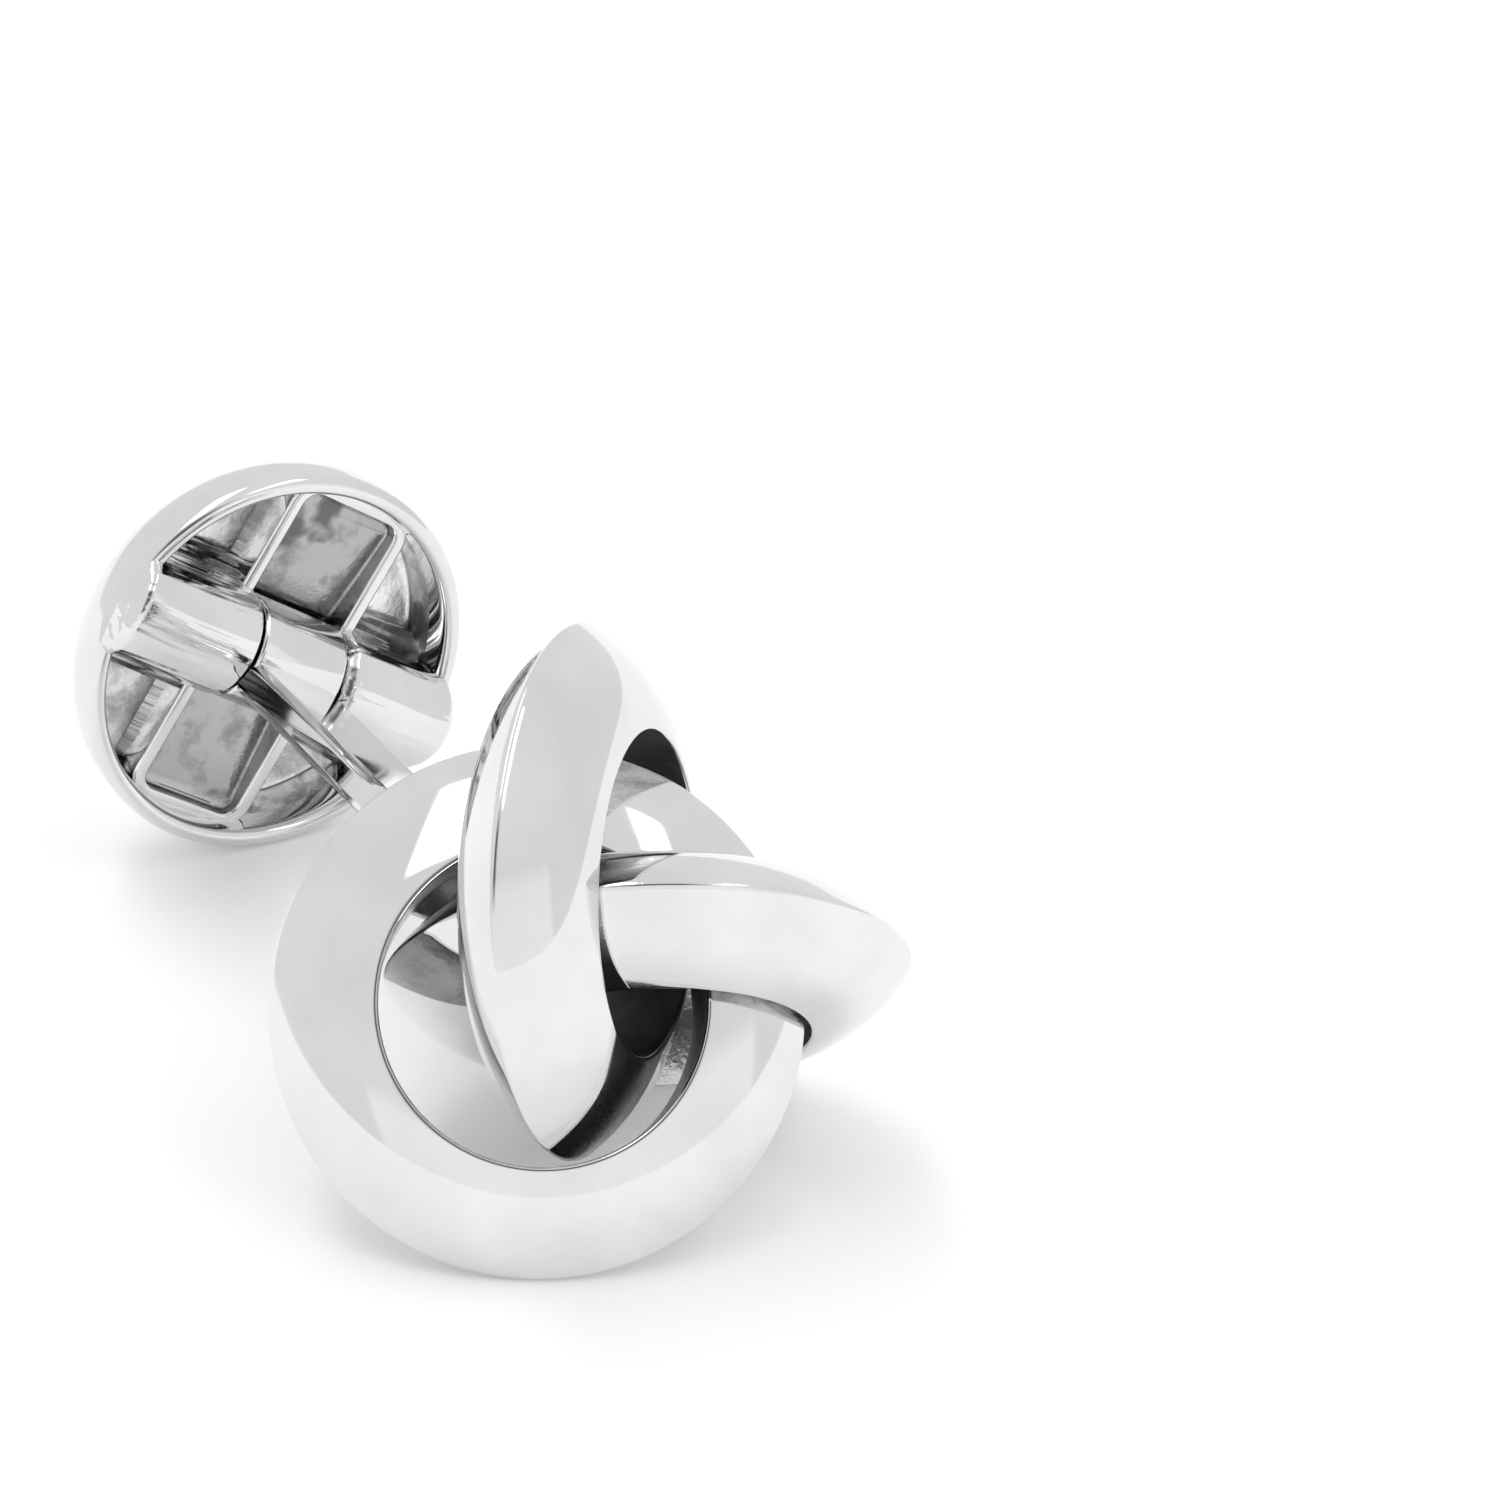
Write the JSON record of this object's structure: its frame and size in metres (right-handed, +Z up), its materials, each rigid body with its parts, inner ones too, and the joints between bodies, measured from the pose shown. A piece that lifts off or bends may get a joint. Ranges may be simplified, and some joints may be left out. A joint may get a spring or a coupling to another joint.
{
  "type": "knot cufflink",
  "caption": "Knot cufflink of linked pointed rings on a flat post, with a swivelling domed round toggle that holds it in a shirt cuff.",
  "frame": {"origin": "middle of the post's grip, halfway between the knot's rings and the toggle, where the cuff sits", "axes": "+Z up from the table that it lies on, +Y along the post from the knot to the toggle, +X to the right seen from the knot's side"},
  "size_m": [0.0165, 0.0271, 0.0152],
  "materials": {
    "ring_silver": "polished sterling silver",
    "post_silver": "polished sterling silver",
    "toggle_silver": "polished sterling silver, cast grain in its recesses",
    "pin_silver": "drawn silver wire"
  },
  "bodies": {
    "knot": {"ring_front": "ring_silver", "ring_left": "ring_silver", "ring_right": "ring_silver", "post": "post_silver"},
    "toggle_end": {"toggle": "toggle_silver", "hinge_pin": "pin_silver"}
  },
  "joints": [
    {"name": "toggle_hinge", "type": "hinge", "parent": "knot", "child": "toggle_end", "pos_m": [0, 0.0068, -0.00009], "axis": [0.8464, -0.0072, -0.5324], "range_deg": [-65, 65]}
  ]
}
